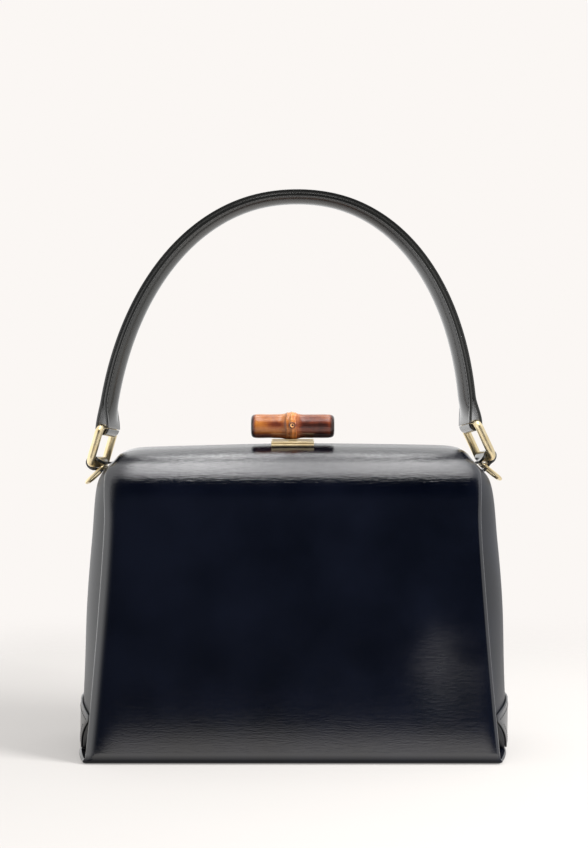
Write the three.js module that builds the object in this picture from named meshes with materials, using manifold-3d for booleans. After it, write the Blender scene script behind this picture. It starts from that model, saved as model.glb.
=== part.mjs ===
// A structured top-handle handbag in black box calf with a bamboo turn clasp.
// Millimetres, +Z up, X along the mouth, the front at -Y, the origin under the middle of the base.

import * as THREE from 'three';
import { mergeVertices } from 'three/addons/utils/BufferGeometryUtils.js';
import Module from 'manifold-3d';

const wasm = await Module();
wasm.setup();

// Driving dimensions

const GAP = 0.3; // clearance between neighbouring pieces
const WELD = 0.0001; // points closer than this are one point
const UP = new THREE.Vector3(0, 0, 1);
const ACROSS = new THREE.Vector3(0, 1, 0); // through the bag, from front to back

// Half of the panel, from the mouth down the front, as rows of its section and its half width there.
// steps is the number of stretches that the row's length down to the next one is cut into.
const PANEL_ROWS = [
  { y: -0.4, z: 182.4, half: 101.0, steps: 2 },
  { y: -8.0, z: 180.0, half: 104.0, steps: 2 },
  { y: -16.0, z: 175.9, half: 106.0, steps: 2 },
  { y: -23.0, z: 169.4, half: 109.5, steps: 2 },
  { y: -27.5, z: 161.4, half: 110.2, steps: 2 },
  { y: -30.0, z: 152.4, half: 110.0, steps: 1 },
  { y: -31.5, z: 138.4, half: 109.6, steps: 3 },
  { y: -37.5, z: 81.4, half: 112.6, steps: 3 },
  { y: -43.0, z: 30.4, half: 116.2, steps: 2 },
  { y: -45.9, z: 3.0, half: 118.6, steps: 0 },
];
const PANEL_WALL = 2;
const PANEL_COLUMNS = 14;
const PANEL_PUFF = 1.8; // how far the middle of the front and back swell
const PUFF_RANGE = { low: 12, high: 167 };
const RIDGE_DROP = 3; // how far the ends of the mouth lie below its middle
const SHOULDER_Z = 161.4; // where the ridge drop starts
const DROP_POWER = { up: 1.5, across: 3.4 };
const BASE = { depthHalf: 43.2, half: 120, bow: 7, steps: 4, roundSteps: 3 };

// Gussets: the half width of the bag at mid depth, over the height
const GUSSET_MIDDLE = [
  { z: 0, half: 125.2 },
  { z: 26, half: 125.8 },
  { z: 51, half: 125.2 },
  { z: 87, half: 124.4 },
  { z: 124, half: 121.6 },
  { z: 160.4, half: 117.2 },
  { z: 168.4, half: 111.2 },
  { z: 175.4, half: 103.6 },
];
const GUSSET_LEVELS = [7, 12, 17, 22, 28, 40, 60, 85, 104, 122, 140, 152, 160.4, 164, 168.4, 171, 173, 175.4];
const GUSSET_COLUMNS = 14;
const GUSSET_WALL = 1.8;
const GUSSET_INSET = 1; // how far the gusset's edge lies in from the panel's edge
const GUSSET_ROUND = 2.2;
const DENT = { depth: 9, run: 12, margin: 1 }; // the folded-in lower corners

// Patches on the lower ends of the gussets
const PATCH = { low: 2.6, foot: 14, slope: 1.25, edgeTop: 26.5, crown: 5.3, margin: 0.9, wall: 1.3 };
const PATCH_ROWS = 6;
const PATCH_COLUMNS = 12;

// Clasp
const PLATE = { width: 25.5, depth: 15, top: 183.6, lift: 0.35, steps: 4, holeRadius: 2.8, holeSides: 24 };
const TURN_PLATE = { width: 25, depth: 12, thick: 0.9, corner: 0.8, cornerSteps: 4 };
const BOSS = { radius: 2.5, length: 0.8, sides: 20 }; // the pivot under the turning plate
const TOGGLE = { seat: 7.5, sides: 20 };
const TOGGLE_ROWS = [
  { x: -25.0, radius: 5.0 },
  { x: -24.5, radius: 6.1 },
  { x: -23.2, radius: 6.9 },
  { x: -12.0, radius: 7.2 },
  { x: -6.5, radius: 7.3 },
  { x: -3.2, radius: 8.05 },
  { x: -0.7, radius: 8.75 },
  { x: 1.8, radius: 8.05 },
  { x: 5.0, radius: 7.3 },
  { x: 12.0, radius: 7.2 },
  { x: 23.2, radius: 6.9 },
  { x: 24.5, radius: 6.1 },
  { x: 25.0, radius: 5.0 },
];

// Handle: a superellipse arch that leans a little to the right, with legs that toe in to the back.
// Its inner layer is padded, so its face is crowned, and it butts against the end of the outer layer's loop.
const ARCH = { half: 110, base: 172.4, rise: 159.2, power: 2.14, steps: 44 };
const LEAN = { shift: -2.67, slope: 0.042, from: 204 };
const TOE_IN = 11; // degrees at the arch's full reach
const LAYER = { width: 20.5, thick: 2, offset: 1.2, endWidth: 18.3, endThick: 1.6, blend: 18 };
const CROWN = { rise: 2, shares: [-0.6, 0, 0.6] };
const HOOK_STEPS = 6;
const BEVEL = { size: 0.5, thickShare: 0.3 }; // of the edges of all strips
const INNER_LAYER_START = 0.5; // height of its end over the ring's bar
const ANGLE_STEP = 0.01; // over which the arch's direction is measured

// Rings and tabs. barX and barZ place the handle ring's upper bar, tilt is that ring's lean out at its foot,
// and hang the slope at which the strap ring stands out and down.
const SIDES = [
  { name: 'left', side: -1, barX: -111.5, barZ: 190.9, tilt: 16.3, hang: 43 },
  { name: 'right', side: 1, barX: 107.2, barZ: 193.3, tilt: 25, hang: 39 },
];
const RING = { width: 24.6, length: 21.6, topCorner: 3.5, footCorner: 3.5, wire: 2.4, sides: 8, toe: 14 };
const STRAP_RING = { width: 13.4, length: 14.4, topCorner: 2, footCorner: 5, wire: 0.95, sides: 6 };
const CORNER_STEPS = 4;
const TAB = { thick: 1.7, width: 16.6, endWidth: 9.8, pocket: 4.8, open: 60, steps: 10 };
const TAB_SEAT = { z: 167.9, over: 3.4, under: 3.2 }; // and how far its two layers end over and under it
const POCKET_TURN = 0.75; // share of the way from the bar's direction to the gusset's at the strap ring

// Materials

const leather = (name) => finish(name, 0x0e0f13, 0.25, 0);
const gold = (name) => finish(name, 0xd8b06a, 0.22, 1);
const bamboo = (name) => finish(name, 0xb5702f, 0.35, 0);

function finish(name, color, roughness, metalness) {
  return new THREE.MeshStandardMaterial({ name, color, roughness, metalness });
}

// Helpers

const { lerp, clamp, smoothstep, degToRad } = THREE.MathUtils;

// The values of a table between two rows, found by the row's height
function between(rows, z) {
  const low = rows.findLastIndex((row) => row.z <= z);
  const i = clamp(low, 0, rows.length - 2);
  const share = (z - rows[i].z) / (rows[i + 1].z - rows[i].z);
  const at = (key) => lerp(rows[i][key], rows[i + 1][key], share);
  return Object.fromEntries(Object.keys(rows[i]).map((key) => [key, at(key)]));
}

// Evenly spaced values from one number to another, both ends included
function spread(from, to, steps) {
  return Array.from({ length: steps + 1 }, (_, i) => lerp(from, to, i / steps));
}

// A closed solid through sections of equal count, with its faces turned outwards
function loft(sections, ring = false) {
  const count = sections[0].length;
  const total = sections.length;
  const index = [];
  const quad = (a, b, c, d) => index.push(a, b, c, a, c, d);
  for (let row = 0; row < (ring ? total : total - 1); row++) {
    const here = row * count;
    const next = ((row + 1) % total) * count;
    for (let i = 0; i < count; i++) {
      const j = (i + 1) % count;
      quad(here + i, here + j, next + j, next + i);
    }
  }
  const last = (total - 1) * count;
  for (let i = 0; !ring && i < count / 2 - 1; i++) {
    const far = count - 1 - i;
    quad(i, far, far - 1, i + 1);
    quad(last + i, last + i + 1, last + far - 1, last + far);
  }
  const points = sections.flat();
  if (signedVolume(points, index) < 0) index.reverse();
  const geometry = new THREE.BufferGeometry().setFromPoints(points);
  geometry.setIndex(index);
  geometry.computeVertexNormals();
  return geometry;
}

function signedVolume(points, index) {
  let volume = 0;
  const normal = new THREE.Vector3();
  for (let i = 0; i < index.length; i += 3) {
    normal.crossVectors(points[index[i + 1]], points[index[i + 2]]);
    volume += points[index[i]].dot(normal) / 6;
  }
  return volume;
}

// A strip of leather through stations that each have a centre, two directions and two sizes.
// A station of a padded strip also says how far its face is crowned.
function strip(stations) {
  return loft(stations.map(({ centre, normal, across, width, thick, crown }) => {
    const a = width / 2;
    const b = thick / 2;
    const bevel = Math.min(BEVEL.size, thick * BEVEL.thickShare);
    const shares = crown === undefined ? [] : CROWN.shares;
    const corners = [
      [-a, b - bevel],
      [bevel - a, b],
      ...shares.map((share) => [a * share, b + crown * (1 - share * share)]),
      [a - bevel, b],
      [a, b - bevel],
      [a, bevel - b],
      [a - bevel, -b],
      ...shares.map((share) => [-a * share, -b]),
      [bevel - a, -b],
      [-a, bevel - b],
    ];
    return corners.map(([u, v]) => centre.clone().addScaledVector(across, u).addScaledVector(normal, v));
  }));
}

// A closed rounded rectangle of round wire, in the plane of two directions, the second one to its foot
function wireLoop({ width, length, topCorner, footCorner, wire, sides }, centre, across, along) {
  const quarters = [[1, 1], [-1, 1], [-1, -1], [1, -1]];
  const plane = new THREE.Vector3().crossVectors(across, along);
  const sections = quarters.flatMap(([u, v], turn) => spread(turn, turn + 1, CORNER_STEPS).map((quarter) => {
    const corner = v > 0 ? footCorner : topCorner;
    const angle = (quarter * Math.PI) / 2;
    const out = across.clone().multiplyScalar(Math.cos(angle)).addScaledVector(along, Math.sin(angle));
    const point = centre.clone()
      .addScaledVector(across, u * (width / 2 - corner))
      .addScaledVector(along, v * (length / 2 - corner))
      .addScaledVector(out, corner);
    return circle(point, out, plane, wire, sides);
  }));
  return loft(sections, true);
}

function circle(centre, first, second, radius, sides) {
  return Array.from({ length: sides }, (_, i) => {
    const angle = (2 * Math.PI * (i + 0.5)) / sides;
    return centre.clone()
      .addScaledVector(first, radius * Math.cos(angle))
      .addScaledVector(second, radius * Math.sin(angle));
  });
}

function solidOf(geometry) {
  const bare = geometry.clone();
  bare.deleteAttribute('normal');
  bare.deleteAttribute('uv');
  const merged = mergeVertices(bare, WELD);
  const vertProperties = new Float32Array(merged.attributes.position.array);
  const triVerts = new Uint32Array(merged.index.array);
  return new wasm.Manifold(new wasm.Mesh({ numProp: 3, vertProperties, triVerts }));
}

function geometryOf(solid) {
  const mesh = solid.getMesh();
  const geometry = new THREE.BufferGeometry();
  geometry.setAttribute('position', new THREE.BufferAttribute(mesh.vertProperties, 3));
  geometry.setIndex(new THREE.BufferAttribute(mesh.triVerts, 1));
  geometry.computeVertexNormals();
  return geometry;
}

function piece(group, name, geometry, material) {
  const mesh = new THREE.Mesh(geometry, material(name));
  mesh.name = name;
  group.add(mesh);
}

// Panel: front, base and back in one wrap

// The rows of the front half of the section, from the mouth to the middle of the base
function panelHalf() {
  const curve = new THREE.CatmullRomCurve3(PANEL_ROWS.map(({ y, z, half }) => new THREE.Vector3(half, y, z)));
  const stretches = PANEL_ROWS.length - 1;
  const upper = PANEL_ROWS.slice(0, -1).flatMap(({ steps }, i) => Array.from({ length: steps }, (_, k) => {
    const point = curve.getPoint((i + k / steps) / stretches);
    return { y: point.y, z: point.z, half: point.x };
  }));
  const foot = PANEL_ROWS[stretches];
  const round = spread(0, Math.PI / 2, BASE.roundSteps).map((angle) => ({
    y: lerp(-BASE.depthHalf, foot.y, Math.cos(angle)),
    z: foot.z * (1 - Math.sin(angle)),
    half: lerp(foot.half, BASE.half, Math.sin(angle)),
  }));
  const base = spread(-BASE.depthHalf, 0, BASE.steps).slice(1).map((y) => ({
    y,
    z: 0,
    half: BASE.half + BASE.bow * (1 - (y / BASE.depthHalf) ** 2),
  }));
  return [...upper, ...round, ...base];
}

function panelRows() {
  const front = panelHalf();
  const back = front.slice(0, -1).reverse().map((row) => ({ ...row, y: -row.y }));
  const rows = [...front, ...back];
  return rows.map((row, i) => {
    const isMouth = i === 0 || i === rows.length - 1;
    const before = rows[Math.max(i - 1, 0)];
    const after = rows[Math.min(i + 1, rows.length - 1)];
    const normal = new THREE.Vector2(after.z - before.z, before.y - after.y).normalize();
    return { ...row, normal: isMouth ? new THREE.Vector2(0, 1) : normal };
  });
}

// A point of the panel: share runs from -1 to 1 across it, depth is measured in from its outer face
function panelPoint({ y, z, half, normal }, share, depth) {
  const height = clamp((z - PUFF_RANGE.low) / (PUFF_RANGE.high - PUFF_RANGE.low), 0, 1);
  const out = PANEL_PUFF * Math.sin(Math.PI * height) * (1 - share * share) - depth;
  const drop = RIDGE_DROP * clamp((z - SHOULDER_Z) / (PANEL_ROWS[0].z - SHOULDER_Z), 0, 1) ** DROP_POWER.up;
  return new THREE.Vector3(
    half * share,
    y + normal.x * out,
    z + normal.y * out - drop * Math.abs(share) ** DROP_POWER.across,
  );
}

const PANEL = panelRows();

function bodyWrap() {
  const shares = spread(-1, 1, PANEL_COLUMNS);
  return loft(PANEL.map((row) => [
    ...shares.map((share) => panelPoint(row, share, 0)),
    ...shares.map((share) => panelPoint(row, -share, PANEL_WALL)),
  ]));
}

// Gussets

// The line just inside the panel's edge that a gusset's edge follows, from the base up
const SIDE_LINE = PANEL.slice(1, (PANEL.length + 1) / 2)
  .map((row) => ({ half: row.half, point: panelPoint(row, 1, PANEL_WALL + GAP) }))
  .map(({ point, half }) => ({ z: point.z, depth: -point.y, half }))
  .reverse()
  .filter(({ z }, i, line) => i === line.length - 1 || line[i + 1].z > z + WELD);

function gussetFace(z, y) {
  const { depth, half } = between(SIDE_LINE, z);
  const edge = half - GUSSET_INSET;
  const share = clamp(Math.abs(y) / depth, 0, 1);
  const swell = (between(GUSSET_MIDDLE, z).half - edge) * (1 - share ** GUSSET_ROUND);
  const past = Math.abs(y) - patchDiagonal(z) - DENT.margin;
  return edge + swell - DENT.depth * smoothstep(past, 0, DENT.run);
}

// Half depth of the patch where its slanting lower edges cut it
function patchDiagonal(z) {
  return PATCH.foot + (z - PATCH.low) * PATCH.slope;
}

function gusset(side) {
  const shares = spread(-1, 1, GUSSET_COLUMNS);
  const levels = [PANEL_WALL + GAP, ...GUSSET_LEVELS];
  return loft(levels.map((z) => {
    const { depth } = between(SIDE_LINE, z);
    const point = (share, inset) => {
      const y = share * depth;
      return new THREE.Vector3(side * (gussetFace(z, y) - inset), y, z);
    };
    return [
      ...shares.map((share) => point(share, 0)),
      ...shares.map((share) => point(-share, GUSSET_WALL)),
    ];
  }));
}

function gussetPatch(side) {
  const shares = spread(-1, 1, PATCH_COLUMNS);
  return loft(spread(0, 1, PATCH_ROWS).map((rise) => {
    const point = (share, proud) => {
      const z = lerp(PATCH.low, PATCH.edgeTop + PATCH.crown * (1 - share * share), rise);
      const half = Math.min(patchDiagonal(z), between(SIDE_LINE, z).depth - PATCH.margin);
      const y = share * half;
      return new THREE.Vector3(side * (gussetFace(z, y) + GAP + proud), y, z);
    };
    return [
      ...shares.map((share) => point(share, PATCH.wall)),
      ...shares.map((share) => point(-share, 0)),
    ];
  }));
}

// Clasp

// Height of the roof over a distance from the mouth, on the middle of the bag
function roofHeight(y) {
  const i = PANEL.findIndex((row) => row.y <= -y);
  const high = PANEL[Math.max(i - 1, 0)];
  const low = PANEL[Math.max(i, 1)];
  return lerp(high.z, low.z, clamp((-y - high.y) / (low.y - high.y), 0, 1));
}

function claspPlate() {
  const half = PLATE.depth / 2;
  const under = spread(half, 0, PLATE.steps);
  const rest = (y) => roofHeight(y) + PLATE.lift;
  const left = under.map((y) => new THREE.Vector2(-y, rest(y)));
  const right = under.slice(0, -1).reverse().map((y) => new THREE.Vector2(y, rest(y)));
  const top = [half, -half].map((y) => new THREE.Vector2(y, PLATE.top));
  const outline = new THREE.Shape([...left, ...right, ...top]);
  const bar = new THREE.ExtrudeGeometry(outline, { depth: PLATE.width, bevelEnabled: false });
  bar.translate(0, 0, -PLATE.width / 2);
  bar.rotateX(Math.PI / 2);
  bar.rotateZ(Math.PI / 2);
  const { holeRadius, holeSides } = PLATE;
  const drill = new THREE.CylinderGeometry(holeRadius, holeRadius, PLATE.depth, holeSides);
  drill.rotateX(Math.PI / 2);
  drill.translate(0, 0, PLATE.top);
  return geometryOf(solidOf(bar).subtract(solidOf(drill)));
}

// The turning plate in its own frame, with its underside at z = 0 and the boss below it
function turnPlate() {
  const { width, depth, thick, corner, cornerSteps } = TURN_PLATE;
  const shape = new THREE.Shape();
  shape.moveTo(corner - width / 2, -depth / 2);
  shape.lineTo(width / 2 - corner, -depth / 2);
  shape.absarc(width / 2 - corner, corner - depth / 2, corner, -Math.PI / 2, 0);
  shape.absarc(width / 2 - corner, depth / 2 - corner, corner, 0, Math.PI / 2);
  shape.absarc(corner - width / 2, depth / 2 - corner, corner, Math.PI / 2, Math.PI);
  shape.absarc(corner - width / 2, corner - depth / 2, corner, Math.PI, 1.5 * Math.PI);
  const settings = { depth: thick, bevelEnabled: false, curveSegments: cornerSteps };
  const plate = new THREE.ExtrudeGeometry(shape, settings);
  const boss = new THREE.CylinderGeometry(BOSS.radius, BOSS.radius, BOSS.length + thick / 2, BOSS.sides);
  boss.rotateX(Math.PI / 2);
  boss.translate(0, 0, (thick / 2 - BOSS.length) / 2);
  return geometryOf(solidOf(plate).add(solidOf(boss)));
}

// The bamboo in its own frame, with its axis on X and a flat seat cut along its underside
function toggle() {
  return loft(TOGGLE_ROWS.map(({ x, radius }) => {
    const ring = circle(new THREE.Vector3(x, 0, 0), ACROSS, UP, radius, TOGGLE.sides);
    return ring.map((point) => point.setZ(Math.max(point.z, -TOGGLE.seat)));
  }));
}

// Handle

// The middle of the strap at an angle round the arch, from the right foot (0) to the left one (PI)
function strapCentre(angle) {
  const power = 2 / ARCH.power;
  const z = ARCH.base + ARCH.rise * Math.abs(Math.sin(angle)) ** power;
  const reach = ARCH.half * Math.abs(Math.cos(angle)) ** power;
  const lean = LEAN.shift + LEAN.slope * (z - LEAN.from);
  return new THREE.Vector3(Math.sign(Math.cos(angle)) * reach + lean, 0, z);
}

// The angle round the arch where the strap is at a height
function strapAngle({ side, barZ }, rise) {
  const angle = Math.asin(((barZ + rise - ARCH.base) / ARCH.rise) ** (ARCH.power / 2));
  return side > 0 ? angle : Math.PI - angle;
}

// Directions at a place on the strap: up its length, out from the arch and across its width
function strapFrame(angle) {
  const centre = strapCentre(angle);
  const run = strapCentre(angle + ANGLE_STEP).sub(strapCentre(angle - ANGLE_STEP)).normalize();
  const out = new THREE.Vector3(run.z, 0, -run.x);
  const turn = degToRad(TOE_IN) * (centre.x / ARCH.half);
  const across = ACROSS.clone().applyAxisAngle(UP, turn);
  return { centre, out: out.applyAxisAngle(UP, turn), across };
}

// Each ring hangs from the strap's foot, and aside is how far the strap bends to its bar there
const RINGS = SIDES.map((row) => {
  const upper = new THREE.Vector3(row.barX, 0, row.barZ);
  const aside = upper.clone().sub(strapCentre(strapAngle(row, 0)));
  const tilt = degToRad(row.tilt);
  const down = new THREE.Vector3(row.side * Math.sin(tilt), 0, -Math.cos(tilt));
  const across = squareTo(ACROSS.clone().applyAxisAngle(UP, row.side * degToRad(RING.toe)), down);
  const lower = upper.clone().addScaledVector(down, RING.length);
  return { ...row, upper, aside, lower, down, across };
});
const [LEFT, RIGHT] = RINGS;

// The strap's frame, eased into the ring's own place and direction close to its bar
function easedFrame(angle) {
  const frame = strapFrame(angle);
  const ring = frame.centre.x < 0 ? LEFT : RIGHT;
  const height = frame.centre.z - ring.upper.z;
  const ease = smoothstep(height, 0, LAYER.blend);
  const across = ring.across.clone().lerp(frame.across, ease).normalize();
  const out = squareTo(frame.out, across);
  return {
    centre: frame.centre.addScaledVector(ring.aside, 1 - ease),
    out,
    across,
    ease,
    width: lerp(LAYER.endWidth, LAYER.width, ease),
    thick: lerp(LAYER.endThick, LAYER.thick, ease),
  };
}

const LOOP_RADIUS = RING.wire + GAP + LAYER.endThick / 2;

// The foot of the outer layer: half way round the bar from the outside
function strapHook(ring) {
  const { centre, out, across, width, thick } = easedFrame(strapAngle(ring, 0));
  const rise = new THREE.Vector3().crossVectors(out, across);
  rise.multiplyScalar(Math.sign(rise.z));
  return spread(0, Math.PI, HOOK_STEPS).map((angle) => {
    const normal = out.clone().multiplyScalar(Math.cos(angle)).addScaledVector(rise, -Math.sin(angle));
    return { centre: centre.clone().addScaledVector(normal, LOOP_RADIUS), normal, across, width, thick };
  });
}

function handleOuter() {
  const angles = spread(strapAngle(LEFT, 0), strapAngle(RIGHT, 0), ARCH.steps).slice(1, -1);
  const arch = angles.map((angle) => {
    const { centre, out, across, ease, width, thick } = easedFrame(angle);
    const offset = lerp(LOOP_RADIUS, LAYER.offset, ease);
    return { centre: centre.addScaledVector(out, offset), normal: out, across, width, thick };
  });
  return strip([...strapHook(LEFT).reverse(), ...arch, ...strapHook(RIGHT)]);
}

function handleInner() {
  const from = strapAngle(LEFT, INNER_LAYER_START);
  const to = strapAngle(RIGHT, INNER_LAYER_START);
  return strip(spread(from, to, ARCH.steps).map((angle) => {
    const { centre, out, across, ease, thick } = easedFrame(angle);
    const normal = out.negate();
    centre.addScaledVector(normal, lerp(LOOP_RADIUS, LAYER.offset, ease));
    return { centre, normal, across, width: LAYER.width, thick, crown: CROWN.rise * ease };
  }));
}

// Tabs and strap rings

// A direction turned square to another one
function squareTo(direction, other) {
  return direction.addScaledVector(other, -direction.dot(other)).normalize();
}

// Directions of a tab at its ring's lower bar: in to its seat on the gusset, over the tab and across it
function tabFrame({ side, lower }, across) {
  const seat = new THREE.Vector3(side * gussetFace(TAB_SEAT.z, 0), 0, TAB_SEAT.z);
  const inward = squareTo(seat.clone().sub(lower), across);
  const over = new THREE.Vector3().crossVectors(across, inward);
  return { seat, inward, over: over.multiplyScalar(Math.sign(over.z)), across };
}

// The tab turns from the bar's direction to the gusset's, and has nearly reached that at the strap ring
function pocketFrame(ring) {
  return tabFrame(ring, ring.across.clone().lerp(ACROSS, POCKET_TURN).normalize());
}

// A folded tab: out along its upper layer, round the bar and back along its under layer, which narrows
function tab(ring) {
  const { side, lower } = ring;
  const radius = RING.wire + GAP + TAB.thick / 2;
  const open = degToRad(TAB.open);
  const barred = tabFrame(ring, ring.across);
  const loop = spread(open, 2 * Math.PI - open, TAB.steps).map((angle) => {
    const [along, aside] = [Math.cos(angle), Math.sin(angle)];
    const normal = barred.inward.clone().multiplyScalar(along).addScaledVector(barred.over, aside);
    const centre = lower.clone().addScaledVector(normal, radius);
    const width = lerp(TAB.width, TAB.endWidth, smoothstep(angle, Math.PI, 2 * Math.PI - open));
    return { centre, normal, across: barred.across, width, thick: TAB.thick };
  });

  const half = STRAP_RING.wire + GAP + TAB.thick / 2;
  const { inward, over, across } = pocketFrame(ring);
  const pocket = {
    centre: lower.clone().addScaledVector(inward, TAB.pocket).addScaledVector(over, half),
    normal: over,
    across,
    width: TAB.endWidth,
    thick: TAB.thick,
  };

  const { seat } = barred;
  const [below, above] = [-TAB.thick, TAB.thick].map((z) => gussetFace(TAB_SEAT.z + z, 0));
  const slope = (above - below) / (2 * TAB.thick);
  const along = new THREE.Vector3(side * slope, 0, 1).normalize();
  const out = new THREE.Vector3(side, 0, -slope).normalize();
  const end = (rise) => ({
    centre: seat.clone().addScaledVector(out, GAP).addScaledVector(along, rise),
    normal: along.clone().multiplyScalar(Math.sign(rise)),
    across: ACROSS,
    width: TAB.endWidth,
    thick: TAB.thick,
  });
  return strip([end(TAB_SEAT.over), pocket, ...loop, end(-TAB_SEAT.under)]);
}

// A thin ring whose top bar lies in the fold of the tab, and which stands out and down from there
function strapRing(ring) {
  const { inward, across } = pocketFrame(ring);
  const hang = degToRad(ring.hang);
  const down = squareTo(new THREE.Vector3(ring.side * Math.cos(hang), 0, -Math.sin(hang)), across);
  const centre = ring.lower.clone()
    .addScaledVector(inward, TAB.pocket)
    .addScaledVector(down, STRAP_RING.length / 2);
  return wireLoop(STRAP_RING, centre, across, down);
}

// Assembly

const bag = new THREE.Group();

const body = new THREE.Group();
piece(body, 'body_wrap', bodyWrap(), leather);
for (const { name, side } of SIDES) {
  piece(body, `gusset_${name}`, gusset(side), leather);
  piece(body, `gusset_patch_${name}`, gussetPatch(side), leather);
}
bag.add(body);

const clasp = new THREE.Group();
piece(clasp, 'clasp_plate', claspPlate(), gold);
const turning = new THREE.Group();
turning.position.z = PLATE.top + GAP;
piece(turning, 'clasp_turn_plate', turnPlate(), gold);
const bambooAxis = new THREE.Group();
bambooAxis.position.z = TURN_PLATE.thick + GAP + TOGGLE.seat;
piece(bambooAxis, 'bamboo_toggle', toggle(), bamboo);
turning.add(bambooAxis);
clasp.add(turning);
bag.add(clasp);

const handle = new THREE.Group();
piece(handle, 'handle_outer', handleOuter(), leather);
piece(handle, 'handle_inner', handleInner(), leather);
for (const ring of RINGS) {
  const centre = ring.upper.clone().lerp(ring.lower, 0.5);
  piece(handle, `handle_ring_${ring.name}`, wireLoop(RING, centre, ring.across, ring.down), gold);
  piece(handle, `tab_${ring.name}`, tab(ring), leather);
  piece(handle, `strap_ring_${ring.name}`, strapRing(ring), gold);
}
bag.add(handle);

export default bag;
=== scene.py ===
# %% [markdown]
# A top-handle handbag in black box calf with a bamboo turn clasp, on a pale studio floor.
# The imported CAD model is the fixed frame: it says where each piece is and which pieces move together.
# This lesson dresses it. Each piece but the two clasp plates is built again as a fine mesh on the CAD's own
# measures, and the thread of the seams is added.

# %% Open the frame
import math

import bpy
import numpy as np
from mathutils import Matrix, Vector


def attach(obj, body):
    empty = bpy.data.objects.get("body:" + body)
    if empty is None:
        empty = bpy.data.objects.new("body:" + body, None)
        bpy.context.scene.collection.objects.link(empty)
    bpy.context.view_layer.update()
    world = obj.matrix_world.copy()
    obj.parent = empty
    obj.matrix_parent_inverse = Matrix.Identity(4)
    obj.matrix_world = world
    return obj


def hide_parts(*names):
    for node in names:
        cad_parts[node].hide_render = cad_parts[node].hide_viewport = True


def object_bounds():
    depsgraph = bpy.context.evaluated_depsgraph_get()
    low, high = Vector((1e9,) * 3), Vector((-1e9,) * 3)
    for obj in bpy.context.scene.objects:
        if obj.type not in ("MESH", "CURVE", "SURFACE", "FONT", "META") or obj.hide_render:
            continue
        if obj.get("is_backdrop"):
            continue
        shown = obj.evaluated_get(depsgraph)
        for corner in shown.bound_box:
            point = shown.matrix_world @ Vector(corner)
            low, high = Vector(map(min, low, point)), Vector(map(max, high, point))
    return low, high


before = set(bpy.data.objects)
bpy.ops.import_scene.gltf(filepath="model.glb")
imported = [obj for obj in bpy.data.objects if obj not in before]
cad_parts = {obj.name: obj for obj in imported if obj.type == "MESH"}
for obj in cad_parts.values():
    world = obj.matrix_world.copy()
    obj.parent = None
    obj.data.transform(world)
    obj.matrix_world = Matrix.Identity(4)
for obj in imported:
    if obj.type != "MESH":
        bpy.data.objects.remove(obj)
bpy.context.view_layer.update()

# %% [markdown]
# ## The camera
# A camera's place follows from the picture's perspective. Here the eye is level with the roof of the bag and
# 0.8 m in front of it, and looks straight along +Y. Blender's sensor width belongs to the picture's long
# side, so the lens follows from the focal length in pixels and the picture's height.

# %% Camera
PICTURE_HEIGHT_PX = 848
FOCAL_PX = 1403.5
SENSOR_MM = 36
EYE_M = (0.0008, -0.845, 0.1939)

camera = bpy.data.objects.new("camera", bpy.data.cameras.new("camera"))
camera.data.sensor_width = SENSOR_MM
camera.data.lens = SENSOR_MM * FOCAL_PX / PICTURE_HEIGHT_PX
camera.location = EYE_M
camera.rotation_euler = (math.pi / 2, 0, 0)
camera.data.clip_start = 0.01
bpy.context.scene.collection.objects.link(camera)
bpy.context.scene.camera = camera
print("lens mm:", round(camera.data.lens, 1))

# %% [markdown]
# ## Nodes and colours
# All finishes are node trees. One small function adds a node, sets it and links it, so that a material reads
# from top to bottom. Colours are written as sRGB hex values, as a colour picker shows them, and turned to
# the linear values that the renderer mixes.

# %% Node and colour helpers
MM = 0.001


def linear(hex_colour):
    """The linear RGBA of an sRGB hex colour."""
    channels = [int(hex_colour[i:i + 2], 16) / 255 for i in (1, 3, 5)]
    return [c / 12.92 if c <= 0.04045 else ((c + 0.055) / 1.055) ** 2.4 for c in channels] + [1.0]


def connect(node, inputs):
    """Links an input to a socket, or to the first output of a node, and sets any other value."""
    for key, value in inputs.items():
        if isinstance(value, bpy.types.Node):
            value = value.outputs[0]
        if isinstance(value, bpy.types.NodeSocket):
            node.id_data.links.new(value, node.inputs[key])
        else:
            node.inputs[key].default_value = value


def add(tree, kind, inputs=None, stops=(), **settings):
    """Adds a node with its settings and inputs, and the colour stops of a ramp."""
    node = tree.nodes.new("ShaderNode" + kind)
    for key, value in settings.items():
        setattr(node, key, value)
    connect(node, inputs or {})
    for i, (place, colour) in enumerate(stops):
        element = node.color_ramp.elements[i] if i < 2 else node.color_ramp.elements.new(place)
        element.position = place
        element.color = linear(colour)
    return node


def new_finish(name):
    """An empty material with its node tree, its shader, and the place on the object for its patterns."""
    finish = bpy.data.materials.new(name)
    finish.use_nodes = True
    tree = finish.node_tree
    return finish, tree, tree.nodes["Principled BSDF"], add(tree, "TexCoord").outputs["Object"]


def per_mm(size):
    """The scale of a texture in metres whose features are this many millimetres across."""
    return 1 / (size * MM)
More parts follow.
